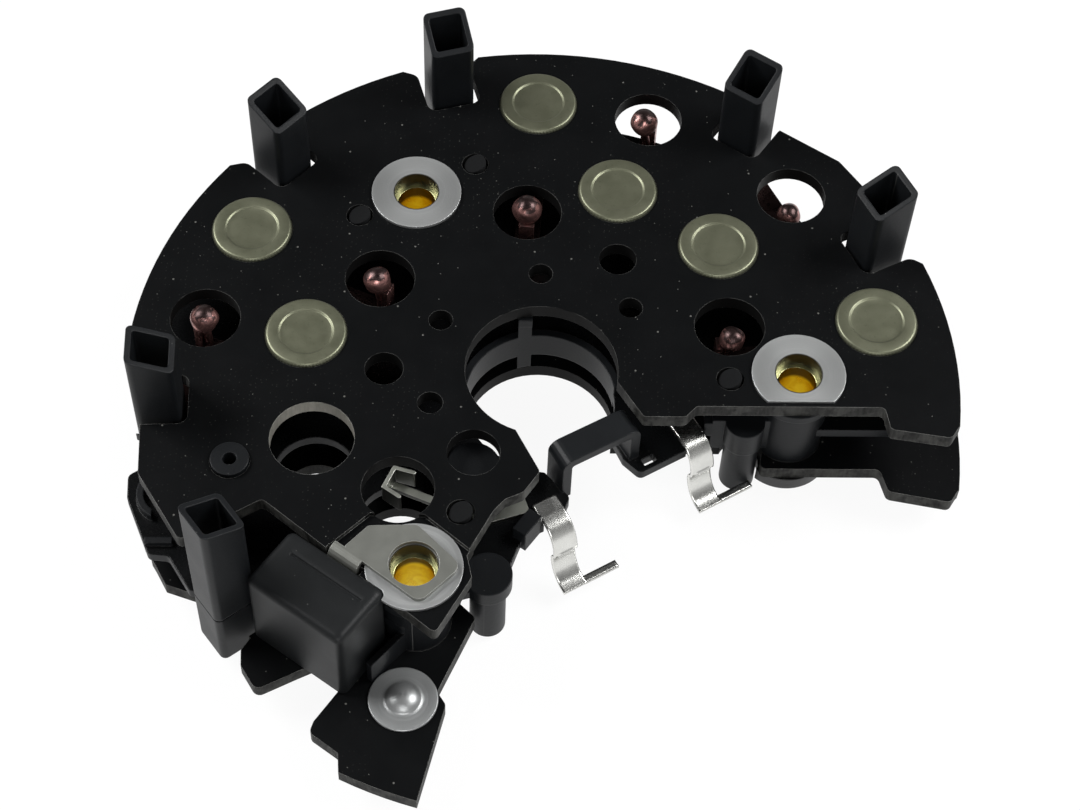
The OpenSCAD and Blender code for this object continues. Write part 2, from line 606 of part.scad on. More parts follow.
// Suppression condenser
module case_place() translate(case_at) rotate(case_turn) children();
case_z = low_top + 0.3;
lug_h = 1.2;
module case_slab(grow, r) {
  l = case_l / 2 + grow;
  w = case_w / 2 + grow;
  polygon(rounded([[-l, -w, r], [l, -w, r], [l, w, r], [-l, w, r]]));
}

module condenser_case() color([0.1, 0.1, 0.105]) difference() {
  union() {
    slab(case_z, case_top - case_z) case_place() case_slab(0, 1);
    slab(web_top, lug_h) case_place() for (x = [-case_l / 2 + 1.6, 2.4]) translate([x, 0]) square([3, case_w / 2 + 1.5]);
  }
  slab(case_z - cut, case_top - case_z - case_wall + cut) case_place() case_slab(-case_wall, 0.5);
  slab(case_top - 0.25, 1) case_place() translate([-case_l / 2 + 2.7, 1.75]) square([case_l - 4.5, 0.3]);
  case_wire(0.02);
}

wind_gap = 0.9;
module condenser_winding(grow = 0) color([0.72, 0.73, 0.74]) {
  l = case_l / 2 - case_wall - wind_gap + grow;
  w = case_w / 2 - case_wall - wind_gap + grow;
  slab(case_z + 2 - grow, case_top - case_z - case_wall - 2.6 + 2 * grow) case_place() {
    translate([-l + w, -w]) square([2 * (l - w), 2 * w]);
    for (x = [-l + w, l - w]) translate([x, 0]) circle(w);
  }
}

module condenser_resin() color([0.2, 0.17, 0.13]) difference() {
  slab(case_z + 0.3, case_top - case_z - case_wall - 0.3 - 0.02) case_place() case_slab(-case_wall - 0.02, 0.5);
  condenser_winding(0.02);
  case_wire(0.02);
}

module condenser_lead() color([0.72, 0.7, 0.66]) difference() {
  case_wire();
  condenser_winding(0.02);
}

upper_heat_sink();
lower_heat_sink();
carrier();
upper_diode(0);  // upper_diode_1
upper_diode(1);  // upper_diode_2
upper_diode(2);  // upper_diode_3
upper_diode(3);  // upper_diode_4
upper_diode(4);  // upper_diode_5
upper_diode(5);  // upper_diode_6
lower_diode(0);  // lower_diode_1
lower_diode(1);  // lower_diode_2
lower_diode(2);  // lower_diode_3
lower_diode(3);  // lower_diode_4
lower_diode(4);  // lower_diode_5
lower_diode(5);  // lower_diode_6
phase_conductor(0);  // phase_conductor_1
phase_conductor(1);  // phase_conductor_2
phase_conductor(2);  // phase_conductor_3
phase_conductor(3);  // phase_conductor_4
phase_conductor(4);  // phase_conductor_5
phase_conductor(5);  // phase_conductor_6
phase_link();
bush(0);  // bush_1
bush(1);  // bush_2
bush(2);  // bush_3
sleeve(0);  // sleeve_1
sleeve(1);  // sleeve_2
sleeve(2);  // sleeve_3
insulating_washer(0);  // insulating_washer_1
insulating_washer(1);  // insulating_washer_2
insulating_washer(2);  // insulating_washer_3
terminal_plate();
contact_rivet();
spring_contact(0);  // spring_contact_1
spring_contact(1);  // spring_contact_2
condenser_case();
condenser_winding();
condenser_resin();
condenser_lead();
wire_tower(0);  // wire_tower_1
wire_tower(1);  // wire_tower_2
wire_tower(2);  // wire_tower_3
wire_tower(3);  // wire_tower_4
wire_tower(4);  // wire_tower_5
wire_tower(5);  // wire_tower_6
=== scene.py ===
"""Looks of a twelve-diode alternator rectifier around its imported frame, in metres."""

import math

import bmesh
import bpy
import numpy as np
from mathutils import Matrix, Vector


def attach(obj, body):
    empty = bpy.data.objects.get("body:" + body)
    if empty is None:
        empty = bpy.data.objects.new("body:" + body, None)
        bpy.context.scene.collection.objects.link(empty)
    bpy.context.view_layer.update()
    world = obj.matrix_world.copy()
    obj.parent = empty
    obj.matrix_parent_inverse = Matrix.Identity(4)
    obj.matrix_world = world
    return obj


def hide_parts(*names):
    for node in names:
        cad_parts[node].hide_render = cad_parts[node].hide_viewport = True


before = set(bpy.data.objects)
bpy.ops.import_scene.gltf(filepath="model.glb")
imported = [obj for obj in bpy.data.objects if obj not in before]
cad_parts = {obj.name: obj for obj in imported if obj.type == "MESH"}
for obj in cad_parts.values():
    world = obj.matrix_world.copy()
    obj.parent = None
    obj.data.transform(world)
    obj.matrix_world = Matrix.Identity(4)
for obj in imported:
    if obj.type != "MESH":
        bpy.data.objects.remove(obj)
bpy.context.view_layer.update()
MM = 0.001
TAU = 2 * math.pi

# Sizes and heights of the frame in millimetres, its places as (angle in degrees, radius)
UP_TOP = 21.5
LOW_Z = 2.5
LOW_TOP = 5.0
WEB_TOP = 11.924
CAN_R = 6.4
CAN_H = 5.6
PELLET = 0.63
LEAD_END = 10.06
PROUD = 0.6
FLOOR_Z = -2.5
UPPER = [(10, 52.6), (40, 36.7), (70, 36.7), (90, 52.6), (150, 52.6), (170, 36.7)]
LOWER = [(15.6, 30.2), (40, 52.6), (70, 52.6), (93.7, 30.2), (146, 30.2), (170, 52.6)]
BEADS = [(3.4, 2.0, 0.7, 0.0), (4.6, 1.9, 0.1, -0.3), (0.7, 2.25, -0.7, 0.0),
         (0.4, 2.3, 0.0, 0.8), (0.8, 2.15, -0.5, 0.25), (0.5, 2.2, -0.2, 0.2)]
MOUNTS = [(-1.2, 39.1), (120.2, 39.1), (241.3, 39.1)]
RIVET = (-20.4, -47.7)
CASE_AT = (-32.9, -37.9)
CASE_TURN = math.radians(-36.4)
CASE_L, CASE_W = 17.4, 10.6
CASE_Z, CASE_TOP = 5.3, 22.0
SEAM_Y = 1.9
SPARE_SEAT = (200.2, 36.7)
PEGS = [(-3.2, 28.7), (104.5, 41.2), (134.3, 41), (244.5, 28.1)]
# Holes behind the sheets' front edge, as (angle, radius) and the hole's own radius
DARK_HOLES = [((224.9, 30.2), 6.5), ((235.6, 18.2), 4.0), ((200.3, 18.0), 1.95), ((244.5, 28.1), 2.1)]


def polar(place):
    """x and y of a place given as (angle in degrees, radius)."""
    return place[1] * math.cos(math.radians(place[0])), place[1] * math.sin(math.radians(place[0]))


# Camera that shows the part as the photograph does: angles in radians, distances in millimetres
CAMERA_UP = 0.98016369
CAMERA_ROLL = 0.00951089
CAMERA_TURN = math.radians(0.2122)
CAMERA_FAR = 363.176
CAMERA_PAN = (9.5309, 2.2917, 0)
AIM_HEIGHT = 22.1
LENS = 79.899
SENSOR = 36
SHIFT = (0.0566, -0.0243)


def place_camera():
    """The photograph's camera: 56 degrees up, 363 mm from the part, rolled by half a degree."""
    back = np.array([0, -math.cos(CAMERA_UP), math.sin(CAMERA_UP)])
    level, upright = np.array([1.0, 0, 0]), np.array([0, math.sin(CAMERA_UP), math.cos(CAMERA_UP)])
    right = math.cos(CAMERA_ROLL) * level + math.sin(CAMERA_ROLL) * upright
    up = -math.sin(CAMERA_ROLL) * level + math.cos(CAMERA_ROLL) * upright
    c, s = math.cos(CAMERA_TURN), math.sin(CAMERA_TURN)
    spin = np.array([[c, s, 0], [-s, c, 0], [0, 0, 1]])
    at = spin @ (back * CAMERA_FAR - np.array(CAMERA_PAN)) + np.array([0, 0, AIM_HEIGHT])
    cam = bpy.data.objects.new("camera", bpy.data.cameras.new("camera"))
    bpy.context.scene.collection.objects.link(cam)
    pose = Matrix.Identity(4)
    for col, axis in enumerate((spin @ right, spin @ up, spin @ back, at * MM)):
        for row in range(3):
            pose[row][col] = axis[row]
    cam.matrix_world = pose
    cam.data.lens, cam.data.sensor_width = LENS, SENSOR
    cam.data.shift_x, cam.data.shift_y = SHIFT
    cam.data.clip_start, cam.data.clip_end = 0.02, 20
    bpy.context.scene.camera = cam


# Shading kit
class Value:
    """A number that a node gives. Python's operators on it add Math nodes."""

    def __init__(self, graph, socket):
        self.graph, self.socket = graph, socket

    def __add__(self, other):
        return self.graph.math("ADD", self, other)

    def __sub__(self, other):
        return self.graph.math("SUBTRACT", self, other)

    def __rsub__(self, other):
        return self.graph.math("SUBTRACT", other, self)

    def __mul__(self, other):
        return self.graph.math("MULTIPLY", self, other)

    def __truediv__(self, other):
        return self.graph.math("DIVIDE", self, other)

    def __rtruediv__(self, other):
        return self.graph.math("DIVIDE", other, self)

    __radd__ = __add__
    __rmul__ = __mul__


class Graph:
    """A node tree, the one method that adds nodes to it, and the patterns made with it."""

    def __init__(self, tree):
        self.tree = tree
        self.coordinates = self.add("ShaderNodeTexCoord")
        self.place = self.coordinates.outputs["Object"]

    def add(self, kind, settings=(), sockets=(), **named):
        """A node of this kind: its settings first, then its sockets' values or links. Sockets whose
        names aren't their own go by number in sockets."""
        node = self.tree.nodes.new(kind)
        for key, value in dict(settings).items():
            setattr(node, key, value)
        for key, value in dict(sockets).items():
            self.feed(node.inputs[key], value)
        for key, value in named.items():
            self.feed(node.inputs[key.replace("_", " ")], value)
        return node

    def feed(self, socket, value):
        """Link a Value or a socket to the socket, or set it to a number or a colour."""
        if isinstance(value, Value):
            value = value.socket
        if isinstance(value, bpy.types.NodeSocket):
            self.tree.links.new(value, socket)
        elif value is not None:
            if isinstance(value, tuple) and len(value) == 3 and len(socket.default_value) == 4:
                value = (*value, 1)
            socket.default_value = value

    def math(self, operation, a, b=0.0):
        node = self.add("ShaderNodeMath", {"operation": operation}, {0: a, 1: b})
        return Value(self, node.outputs[0])

    def moved(self, x=0.0, y=0.0, stretch=(1, 1, 1)):
        """Object coordinates centred on (x, y) millimetres and stretched."""
        shift = self.add("ShaderNodeMapping", {"vector_type": "POINT"}, Vector=self.place,
                         Location=(-x * MM * stretch[0], -y * MM * stretch[1], 0.0), Scale=stretch)
        return shift.outputs[0]

    def noise(self, size_mm, detail=2.0, rough=0.5, at=None, twist=0.0):
        node = self.add("ShaderNodeTexNoise", Vector=at or self.place, Scale=1000 / size_mm, Detail=detail,
                        Roughness=rough, Distortion=twist)
        return Value(self, node.outputs[0])

    def cells(self, size_mm):
        """Distance to the nearest cell's middle, and a random number of that cell."""
        node = self.add("ShaderNodeTexVoronoi", {"voronoi_dimensions": "2D"}, Vector=self.place,
                        Scale=1000 / size_mm)
        pick = self.add("ShaderNodeSeparateColor", Color=node.outputs["Color"])
        return Value(self, node.outputs["Distance"]), Value(self, pick.outputs[0])

    def step(self, value, low, high):
        """Smooth step from 0 at low to 1 at high."""
        node = self.add("ShaderNodeMapRange", {"interpolation_type": "SMOOTHSTEP"}, Value=value,
                        From_Min=min(low, high), From_Max=max(low, high),
                        To_Min=float(high < low), To_Max=float(high > low))
        return Value(self, node.outputs[0])

    def blend(self, share, a, b):
        """Colour from a at share 0 to b at share 1."""
        return self.add("ShaderNodeMix", {"data_type": "RGBA"}, {0: share, 6: a, 7: b}).outputs[2]

    def facing_up(self):
        """Height of the surface's normal: 1 on top faces, 0 on walls."""
        geo = self.add("ShaderNodeNewGeometry")
        return self.xyz(geo.outputs["True Normal"])[2]

    def xyz(self, at=None):
        split = self.add("ShaderNodeSeparateXYZ", Vector=at or self.place)
        return [Value(self, out) for out in split.outputs]

    def off_axis(self, x=0.0, y=0.0):
        """Distance from the upright line through (x, y) millimetres."""
        dx, dy, _ = self.xyz(self.moved(x, y))
        return self.math("SQRT", dx * dx + dy * dy)

    def edge(self, radius_mm):
        """Rounded normal and a mask that is 1 along outer edges and in corners."""
        round_off = self.add("ShaderNodeBevel", {"samples": 6}, Radius=radius_mm * MM)
        geo = self.add("ShaderNodeNewGeometry")
        dot = self.add("ShaderNodeVectorMath", {"operation": "DOT_PRODUCT"},
                       {0: round_off.outputs[0], 1: geo.outputs["True Normal"]})
        return round_off.outputs[0], self.step(Value(self, dot.outputs["Value"]), 0.99, 0.8)

    def relief(self, height, depth_mm, normal=None):
        """Normal of a surface raised by height times depth_mm."""
        return self.add("ShaderNodeBump", Strength=1.0, Distance=depth_mm * MM, Height=height,
                        Normal=normal).outputs[0]


class Finish(Graph):
    """One material: a Principled surface whose inputs come from expressions on Values."""

    def __init__(self, name):
        self.mat = bpy.data.materials.new(name)
        self.mat.use_nodes = True
        super().__init__(self.mat.node_tree)
        self.shader = self.tree.nodes["Principled BSDF"]

    def finish(self, **inputs):
        for key, value in inputs.items():
            self.feed(self.shader.inputs[key.replace("_", " ")], value)
        return self.mat


def shade(colour, by, most=1.0):
    """The colour times a factor, no channel above most."""
    return tuple(min(c * by, most) for c in colour)


def specks(f, size_mm, radius, share):
    """Fine light dust: small dots in a share of the cells."""
    near, pick = f.cells(size_mm)
    return f.step(near, radius, radius * 0.5) * f.step(pick, 1 - share, 1 - share + 0.02)


# Finishes
def anodised(name, rim_grey):
    """Black anodised sheet with pale dust. The sheared outer edges show grey metal, the holes' walls
    stay black, and the empty upper seat is bare."""
    f = Finish(name)
    rounded, edge = f.edge(0.14)
    up = f.facing_up()
    wall = f.step(up * up, 0.5, 0.2)
    _, y, z = f.xyz()
    outer = f.math("MAXIMUM", f.step(f.off_axis(), 61.2 * MM, 62.2 * MM), f.step(y, -3.5 * MM, -4.5 * MM))
    for hole, hole_r in DARK_HOLES:
        outer = outer * f.step(f.off_axis(*polar(hole)), (hole_r + 0.1) * MM, (hole_r + 0.3) * MM)
    bare = f.step(f.off_axis(*polar(SPARE_SEAT)), (CAN_R + 0.4) * MM, (CAN_R + 0.2) * MM)
    bare = bare * wall * f.step(z, 15 * MM, 16 * MM)
    streak = f.noise(0.5, 3, 0.6, f.moved(stretch=(1, 1, 0.2)))
    patch = f.step(f.noise(2.6, 3, 0.6), 0.42, 0.58)
    cloud = f.noise(9, 4, 0.6)
    dusty = f.step(f.noise(22, 2), 0.4, 0.62)
    dust = specks(f, 3.1, 0.034, 0.26) + specks(f, 0.8, 0.1, 0.3) * dusty * 0.32 + specks(f, 9.0, 0.022, 0.5)
    sheet = f.blend(cloud, (0.0014, 0.0016, 0.0018), (0.003, 0.0033, 0.0036))
    sheet = f.blend(f.math("MINIMUM", dust * 0.7, 1.0), sheet, (0.12, 0.12, 0.11))
    worn = f.step(streak, 0.25, 0.75) * 0.5 + patch * 0.5
    sheared = f.blend(worn * outer, (0.004, 0.004, 0.004), rim_grey)
    base = f.blend(wall, sheet, sheared)
    base = f.blend(edge * (f.step(f.noise(3.2, 3), 0.36, 0.56) * 0.4 + outer * 0.6), base, (0.2, 0.2, 0.19))
    base = f.blend(bare, base, f.blend(streak, (0.3, 0.29, 0.25), (0.62, 0.6, 0.54)))
    grain = f.noise(0.25, 3, 0.6) + streak * wall
    return f.finish(Base_Color=base, Metallic=bare * 0.9, Roughness=f.noise(5, 3) * 0.14 + 0.34 + wall * 0.1,
                    Specular_IOR_Level=0.075, Normal=f.relief(grain, 0.01, rounded))


def moulding(name, light, rough, grain_mm=0.5, spec=0.4):
    """Black glass-filled plastic: faint grain, flow clouds and slightly paler worn edges. The ends
    of the pegs are matt and deeper black, and the web's top under the upper sheet has painted shade."""
    f = Finish(name)
    rounded, edge = f.edge(0.3)
    pegs = 0.0
    for peg in PEGS:
        pegs = f.step(f.off_axis(*polar(peg)), 2.2 * MM, 2.0 * MM) + pegs
    height = f.xyz()[2]
    pegs = pegs * f.step(height, 15.5 * MM, 16.5 * MM)
    # Painted shade: up-facing faces of the web below 12.2 to 12.8 mm, under the upper sheet
    shaded_web_top = f.step(f.facing_up(), 0.5, 0.8) * f.step(height, 12.8 * MM, 12.2 * MM)
    flow = f.noise(6, 4, 0.55, twist=0.6)
    grain = f.noise(grain_mm, 3, 0.6)
    base = f.blend(flow, shade(light, 0.75), shade(light, 1.25))
    base = f.blend(edge * 0.35, base, tuple(c * 2.2 + 0.008 for c in light))
    base = f.blend(specks(f, 2.1, 0.05, 0.12) * 0.5, base, (0.12, 0.12, 0.115))
    # Deeper black on the peg ends, and painted shade on the web's top
    base = f.blend(f.math("MAXIMUM", pegs * 0.6, shaded_web_top * 0.7), base, (0.001, 0.001, 0.001))
    return f.finish(Base_Color=base, Roughness=flow * 0.12 + rough - grain * 0.06 + pegs * 0.5 - shaded_web_top * 0.15,
                    Specular_IOR_Level=spec, Normal=f.relief(grain + flow * 0.6, 0.02, rounded))


def nickel():
    """Dull greenish nickel plate on the pressed cups, brighter where the knurl has rubbed."""
    f = Finish("nickel_plate")
    rounded, edge = f.edge(0.1)
    stain = f.noise(3.2, 4, 0.6)
    fine = f.noise(0.18, 2)
    base = f.blend(stain, (0.115, 0.12, 0.078), (0.17, 0.174, 0.122))
    base = f.blend(f.step(f.noise(0.5, 4, 0.7), 0.58, 0.7) * 0.4, base, (0.07, 0.075, 0.05))
    base = f.blend(edge * 0.8, base, (0.5, 0.51, 0.42))
    return f.finish(Base_Color=base, Metallic=0.8, Roughness=stain * 0.16 + 0.3 + fine * 0.08,
                    Normal=f.relief(fine, 0.006, rounded))


def copper(name, dark):
    """Bare copper with oxide patches, darker on top faces."""
    f = Finish(name)
    rounded, _ = f.edge(0.12)
    patch = f.step(f.noise(1.5, 4, 0.6, twist=0.8), 0.42, 0.58)
    # Darker where the faces point up, spread further by the patches
    dark_top = f.step(f.facing_up() + patch * 0.3, 0.66, 0.92)
    base = f.blend(f.math("MAXIMUM", patch * 0.6, dark_top) * dark, (0.44, 0.22, 0.2), (0.024, 0.018, 0.018))
    return f.finish(Base_Color=base, Metallic=0.9, Roughness=patch * 0.1 + 0.27,
                    Normal=f.relief(f.noise(0.5, 3), 0.02, rounded))


def turned(name, x, y, tone=(0.42, 0.428, 0.425), shaded_bore_mm=-1.0):
    """Aluminium turned about the axis at (x, y): fine rings of varying depth, painted sheen in sectors, and
    painted shade in the bore.
    """
    f = Finish(name)
    rounded, edge = f.edge(0.12)
    px, py, pz = f.xyz(f.moved(x, y))
    radius = f.math("SQRT", px * px + py * py)
    ring_at = f.add("ShaderNodeCombineXYZ", X=radius, Z=pz).outputs[0]
    rings = f.noise(0.14, 3, 0.7, ring_at)
    wide = f.noise(0.7, 2, 0.5, ring_at)
    base = f.blend(rings, shade(tone, 0.82), shade(tone, 1.18, 0.9))
    # Painted sheen: two opposite sectors are darker, standing in for the anisotropic highlights of the turned
    # rings
    painted_sheen_sectors = (px * px - py * py) / (radius * radius + 1e-9)
    base = f.blend(f.step(painted_sheen_sectors, -1.0, 1.0) * 0.5, base, shade(tone, 0.55))
    base = f.blend(edge * 0.6, base, (0.75, 0.76, 0.77))
    # Painted shade: the wall inside the bore's radius is darkened nearly to black
    base = f.blend(f.step(radius, (shaded_bore_mm + 0.25) * MM, (shaded_bore_mm + 0.05) * MM), base, (0.03, 0.027, 0.02))
    return f.finish(Base_Color=base, Metallic=0.8, Roughness=rings * 0.16 + wide * 0.12 + 0.26,
                    Normal=f.relief(rings + wide, 0.014, rounded))


def zinc():
    """Yellow passivated zinc, with the film's drift towards red and green, painted shade deep in the bore and
    a painted highlight on top faces.
    """
    f = Finish("yellow_zinc")
    rounded, _ = f.edge(0.1)
    drift = f.noise(2.5, 3, 0.5, twist=1.0)
    z = f.xyz()[2]
    base = f.blend(f.step(drift, 0.35, 0.65), (0.7, 0.5, 0.02), (0.84, 0.68, 0.05))
    # Painted shade: the sleeve is darkened below 16.4 to 17.4 mm, deep inside the bore
    base = f.blend(f.step(z, 16.4 * MM, 17.4 * MM), base, (0.09, 0.06, 0.02))
    # Painted highlight: faces that point up are lightened to pale yellow-green
    base = f.blend(f.step(f.facing_up(), 0.6, 0.9), base, (0.8, 0.8, 0.4))
    return f.finish(Base_Color=base, Metallic=1.0, Roughness=drift * 0.2 + 0.2,
                    Normal=f.relief(f.noise(0.3, 2), 0.01, rounded))


def tinned(name, tone, rough, angle=0.0, metallic=1.0, walls=0.0):
    """Rolled strip with fine lines along its length and a few scratches, painted shade on the walls by the
    share in walls, and a painted highlight along the edges.
    """
    f = Finish(name)
    rounded, edge = f.edge(0.12)
    turn = f.add("ShaderNodeMapping", {"vector_type": "POINT"}, Vector=f.place, Rotation=(0, 0, angle),
                 Scale=(0.06, 1, 1))
    lines = f.noise(0.12, 3, 0.7, turn.outputs[0])
    blot = f.noise(3, 4, 0.6)
    base = f.blend(blot, shade(tone, 0.8), shade(tone, 1.15))
    # Painted shade: faces that don't point up are darkened by the share given in walls
    if walls:
        up = f.facing_up()
        base = f.blend(f.step(up * up, 0.5, 0.2) * walls, base, (0.05, 0.05, 0.045))
    # Painted highlight: edges and corners are lightened towards pale tin
    base = f.blend(edge * 0.5, base, (0.8, 0.79, 0.76))
    return f.finish(Base_Color=base, Metallic=metallic, Roughness=blot * 0.12 + lines * 0.12 + rough,
                    Normal=f.relief(lines + blot, 0.006, rounded))


def plain(name, light, rough, metallic=0.0):
    """Matt filling or foil with a soft mottle."""
    f = Finish(name)
    mottle = f.noise(1.5, 4, 0.6)
    base = f.blend(mottle, shade(light, 0.75), shade(light, 1.25))
    return f.finish(Base_Color=base, Metallic=metallic, Roughness=mottle * 0.15 + rough,
                    Normal=f.relief(mottle, 0.03))


# Meshes
def piece(name, verts, faces, finish, nodes=(), sharp=30):
    """A finished piece on the root body, from points in millimetres and face indices."""
    mesh = bpy.data.meshes.new(name)
    mesh.from_pydata((np.asarray(verts, float) * MM).tolist(), [], [list(map(int, face)) for face in faces])
    mesh.validate()
    mesh.update()
    obj = bpy.data.objects.new(name, mesh)
    bpy.context.scene.collection.objects.link(obj)
    mesh.materials.append(finish)
    mesh.shade_smooth()
    mesh.set_sharp_from_angle(angle=math.radians(sharp))
    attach(obj, "root")
    for node in nodes:
        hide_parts(node)
    return obj


def grid_faces(rows, cols, wrap):
    """Quads between neighbouring rows of a grid of points; wrap closes each row."""
    last = cols if wrap else cols - 1
    r, c = np.meshgrid(np.arange(rows - 1), np.arange(last), indexing="ij")
    c2 = (c + 1) % cols
    return np.stack([r * cols + c, r * cols + c2, (r + 1) * cols + c2, (r + 1) * cols + c], -1).reshape(-1, 4)


def lathe(profile, turns=96, axis=lambda z: (0 * z, 0 * z), swell=None):
    """Surface of revolution: each profile point (r, z) sweeps a ring about axis(z); swell(a, r, z)
    adds to the radius. Rings run counter-clockwise and the profile runs upwards on outer walls."""
    prof = np.asarray(profile, float)
    a = np.arange(turns) * TAU / turns
    r, z = prof[:, :1] + 0 * a, prof[:, 1:] + 0 * a
    if swell is not None:
        r = r + swell(a[None, :] + 0 * r, r, z)
    ax, ay = axis(z)
    pts = np.stack([ax + r * np.cos(a), ay + r * np.sin(a), z], -1).reshape(-1, 3)
    faces = [list(q) for q in grid_faces(len(prof), turns, True)]
    top = (len(prof) - 1) * turns
    faces += [list(range(turns - 1, -1, -1)), list(range(top, top + turns))]
    return pts, faces


def ease(t):
    t = np.clip(t, 0, 1)
    return t * t * (3 - 2 * t)


def turned_to(pts, angle, x, y, z=0.0):
    """Points turned by the angle about the upright line through the origin, then moved to (x, y, z)."""
    c, s = math.cos(angle), math.sin(angle)
    return pts @ np.array([[c, s, 0], [-s, c, 0], [0, 0, 1]]) + [x, y, z]


def joined(parts):
    """Several point and face lists as one."""
    verts, faces, base = [], [], 0
    for pts, quads in parts:
        verts.append(np.asarray(pts, float))
        faces += [[base + i for i in q] for q in quads]
        base += len(pts)
    return np.concatenate(verts), faces


# Pressed cup, from the middle of its open side round to its closed end, r and z above the open end
CUP = [(0.02, 0.62), (1.6, 0.6), (2.3, 0.8), (3.2, 1.0), (5.2, 1.05), (5.42, 0.9), (5.5, 0.15),
       (5.62, 0.02), (6.0, 0.0), (6.22, 0.08), (6.34, 0.3), (6.34, 0.75), (6.38, 0.85), (6.38, 4.2),
       (6.36, 4.5), (6.36, 5.1), (6.3, 5.25), (6.2, 5.34), (6.14, 5.46), (6.02, 5.56), (5.8, 5.6),
       (4.4, 5.6), (4.24, 5.58), (4.14, 5.5), (4.04, 5.42), (3.94, 5.4), (3.2, 5.42), (0.02, 5.42)]
TEETH, TOOTH = 72, 0.09


def knurl(a, r, z):
    """Straight knurling: rounded teeth, a cosine of the angle, from the open end's bevel to the rim."""
    band = ease((z - 0.8) / 0.3) * (1 - ease((z - 5.15) / 0.25)) * (r > 6.25)
    return -TOOTH * band * (0.5 - 0.5 * np.cos(TEETH * a))


def cup(name, place, z0, flip, finish, node):
    """A diode's cup with its open side at z0; flip turns the closed end down."""
    x, y = polar(place)
    pts, faces = lathe(CUP, 4 * TEETH, swell=knurl)
    if flip:
        pts = pts * [1, -1, -1]
    pts = pts + [x, y, z0]
    return piece(name, pts, faces, finish, [node], sharp=50)


def upper_stem(name, place, finish, node):
    """An upper diode's lead: straight wire with a headed foot at the pellet."""
    x, y = polar(place)
    top = UP_TOP + PROUD - CAN_H + PELLET
    prof = [(0.55, LEAD_END), (0.7, LEAD_END + 0.24), (0.7, top - 1.2), (0.85, top - 0.7), (1.4, top - 0.35),
            (1.5, top)]
    pts, faces = lathe(prof, 32)
    return piece(name, pts + [x, y, 0], faces, finish, [node])


def beaded_stem(name, i, finish, node):
    """A lower diode's lead that ends in a melted bead: a ball, flattened and lumpy, whose axis
    leans over to the bead's place."""
    drop, big, dx, dy = BEADS[i]
    x, y = polar(LOWER[i])
    mid = UP_TOP - drop
    low = LOW_Z - PROUD + CAN_H - PELLET
    t = np.linspace(-math.acos(0.75 / big) + 0.02, math.pi / 2, 30)
    ball = [(max(big * math.cos(s), 0.02), mid + big * math.sin(s)) for s in t]
    neck = [(1.5, low), (1.4, low + 0.35), (0.85, low + 0.7), (0.7, low + 1.2)]
    neck += [(0.7, z) for z in np.linspace(low + 1.6, mid - big - 0.9, 6)]
    neck += [(0.74, mid - big - 0.3)]

    def lean(z):
        share = ease((z - (mid - big - 2.2)) / 2.6)
        return dx * share, dy * share

    def lumps(a, r, z):
        ball_only = ease((z - mid + big) / 0.6)
        return ball_only * r * (0.05 * np.sin(2 * a + i * 1.7) * np.cos(2.1 * (z - mid) + i)
                                + 0.025 * np.sin(3 * a - i * 2.3 + 1.5 * (z - mid))
                                - 0.05 * ease((z - mid - 0.5 * big) / big))
    pts, faces = lathe(neck + ball, 64, lean, lumps)
    return piece(name, pts + [x, y, 0], faces, finish, [node], sharp=80)


# Contact rivet, r and z above the sheet: set head below, thin flange, shallow cone and low dome above
RIVET_FORM = [(0.02, -3.2), (2.2, -3.2), (2.7, -3.05), (3.0, -2.5), (2.0, -2.5), (2.0, 0.0), (5.0, 0.0),
              (5.2, 0.1), (5.2, 0.32), (5.1, 0.43), (4.9, 0.46), (4.0, 0.52), (3.1, 0.6), (2.8, 0.66),
              (2.62, 0.78), (2.5, 0.95), (2.35, 1.15), (2.1, 1.38), (1.75, 1.6), (1.3, 1.8), (0.8, 1.93),
              (0.4, 1.98), (0.02, 2.0)]


def rounded_ring(length, width, radius, steps=8):
    """Points round a rectangle with rounded corners, counter-clockwise: four quarter circles whose
    middles lie one radius inside the corners."""
    corner = np.repeat([(1, 1), (-1, 1), (-1, -1), (1, -1)], steps + 1, axis=0)
    a = np.radians(np.add.outer([0, 90, 180, 270], 90 * np.arange(steps + 1) / steps)).ravel()
    middle = corner * [length / 2 - radius, width / 2 - radius]
    return middle + radius * np.column_stack([np.cos(a), np.sin(a)])


